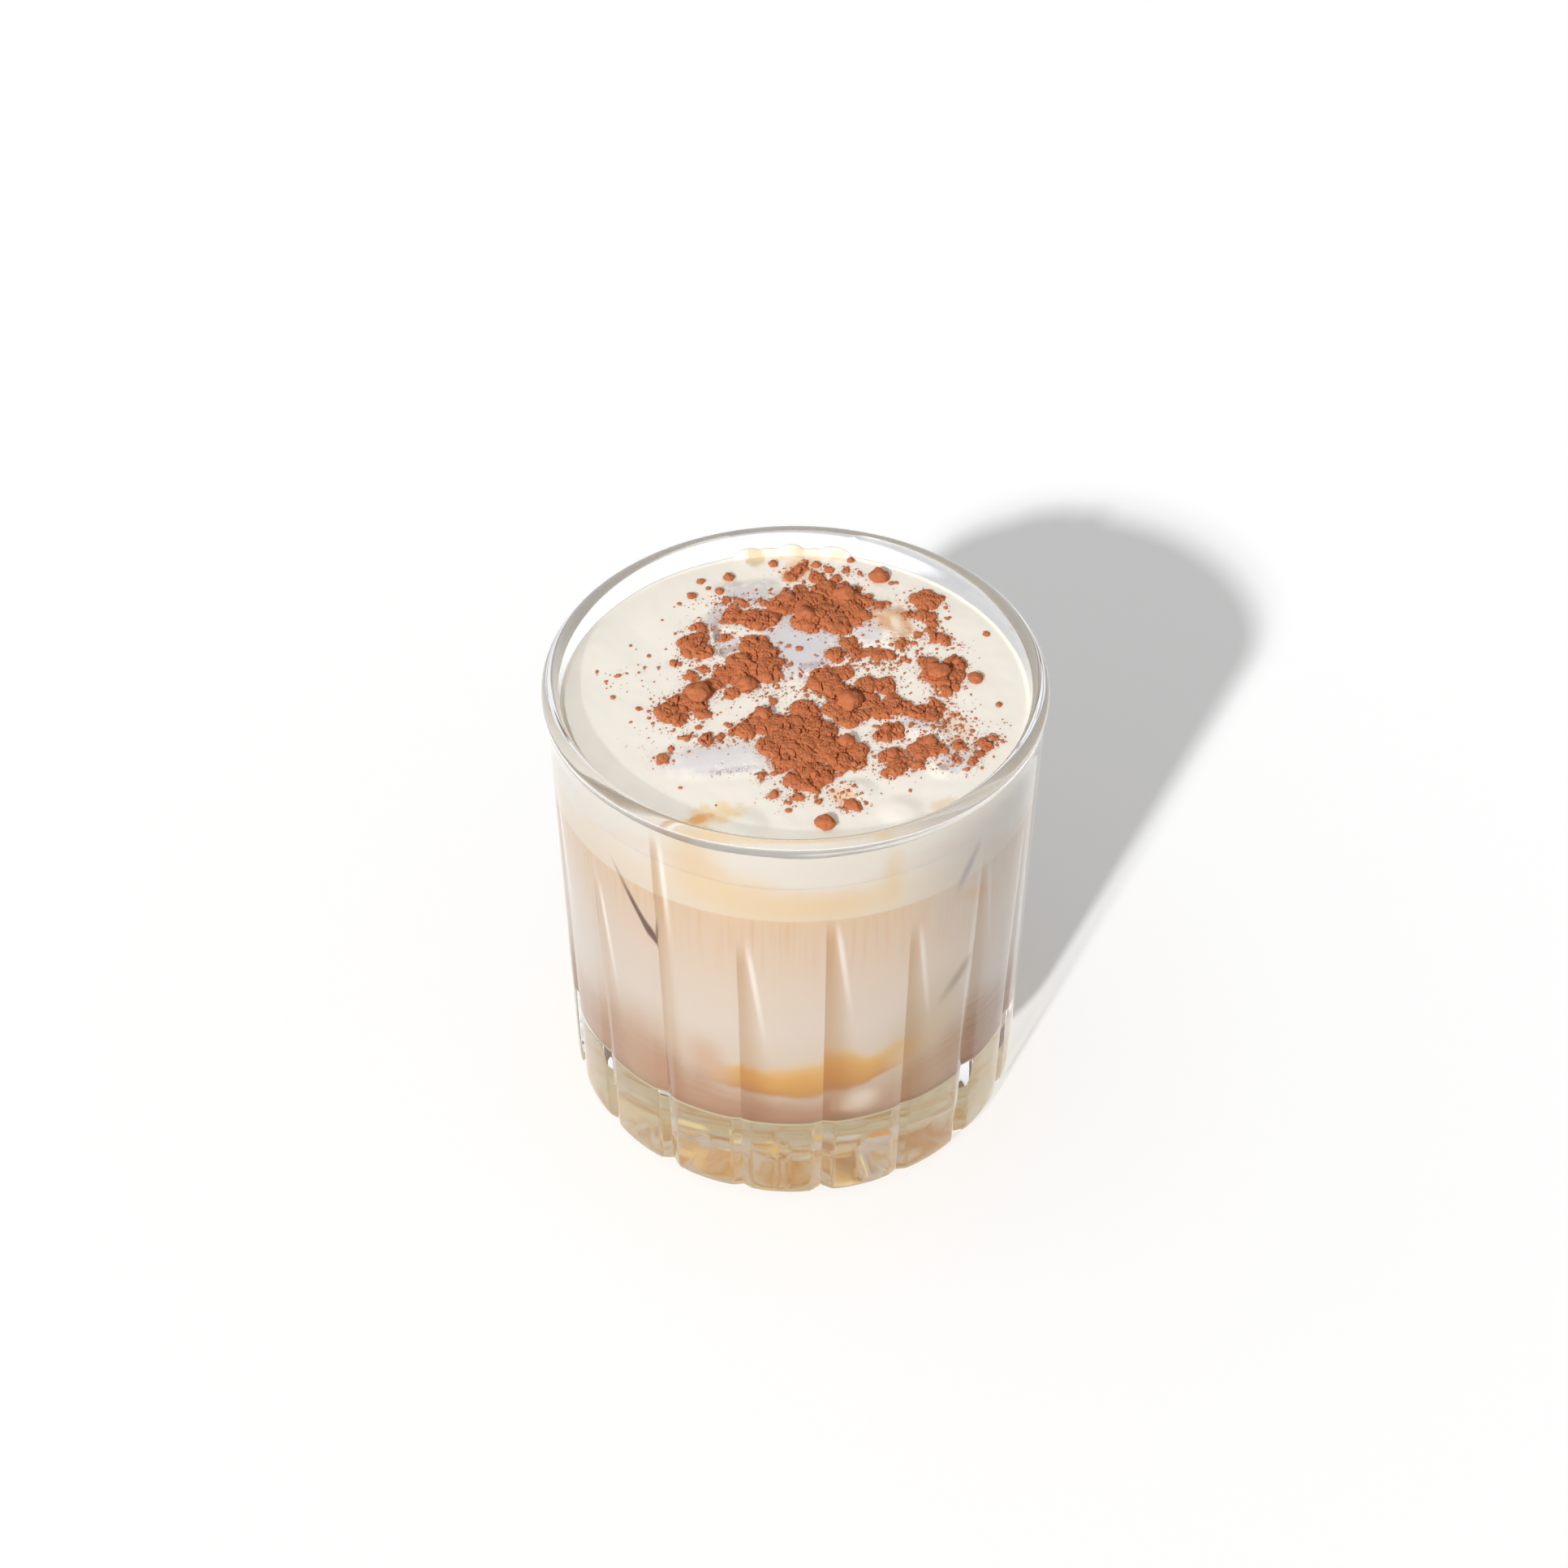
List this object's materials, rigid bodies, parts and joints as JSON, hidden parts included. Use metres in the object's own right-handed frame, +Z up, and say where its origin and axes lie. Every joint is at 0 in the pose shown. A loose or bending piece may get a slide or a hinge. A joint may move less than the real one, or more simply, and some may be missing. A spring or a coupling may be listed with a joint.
{
  "type": "salt coffee",
  "caption": "Layered iced coffee under a thick salted cream, dusted with clumps of cocoa, in a heavy-based glass with fluted cuts.",
  "frame": {"origin": "centre of the foot, on the surface that the glass stands on", "axes": "+Z up through the mouth; -Y is the front, with +X to its right. The caramel band climbs towards +X."},
  "size_m": [0.088, 0.088, 0.091],
  "materials": {
    "clear_glass": "clear, fire-polished lip, cut flutes",
    "dark_coffee": "cloudy brown coffee",
    "caramel_syrup": "amber coffee syrup",
    "milk_coffee": "cloudy milk coffee",
    "stained_cream": "cream stained by coffee",
    "salt_cream": "smooth whipped cream, satin",
    "cocoa_powder": "dry clumped powder"
  },
  "bodies": {
    "root": {"glass": "clear_glass", "coffee_base": "dark_coffee", "syrup_band": "caramel_syrup", "milk_coffee": "milk_coffee", "stained_cream": "stained_cream", "salt_cream": "salt_cream", "cocoa_heap_01": "cocoa_powder", "cocoa_heap_02": "cocoa_powder", "cocoa_heap_03": "cocoa_powder", "cocoa_heap_04": "cocoa_powder", "cocoa_heap_05": "cocoa_powder", "cocoa_heap_06": "cocoa_powder", "cocoa_heap_07": "cocoa_powder", "cocoa_heap_08": "cocoa_powder", "cocoa_heap_09": "cocoa_powder", "cocoa_heap_10": "cocoa_powder", "cocoa_heap_11": "cocoa_powder", "cocoa_heap_12": "cocoa_powder", "cocoa_heap_13": "cocoa_powder", "cocoa_heap_14": "cocoa_powder", "cocoa_heap_15": "cocoa_powder", "cocoa_heap_16": "cocoa_powder"}
  },
  "joints": []
}
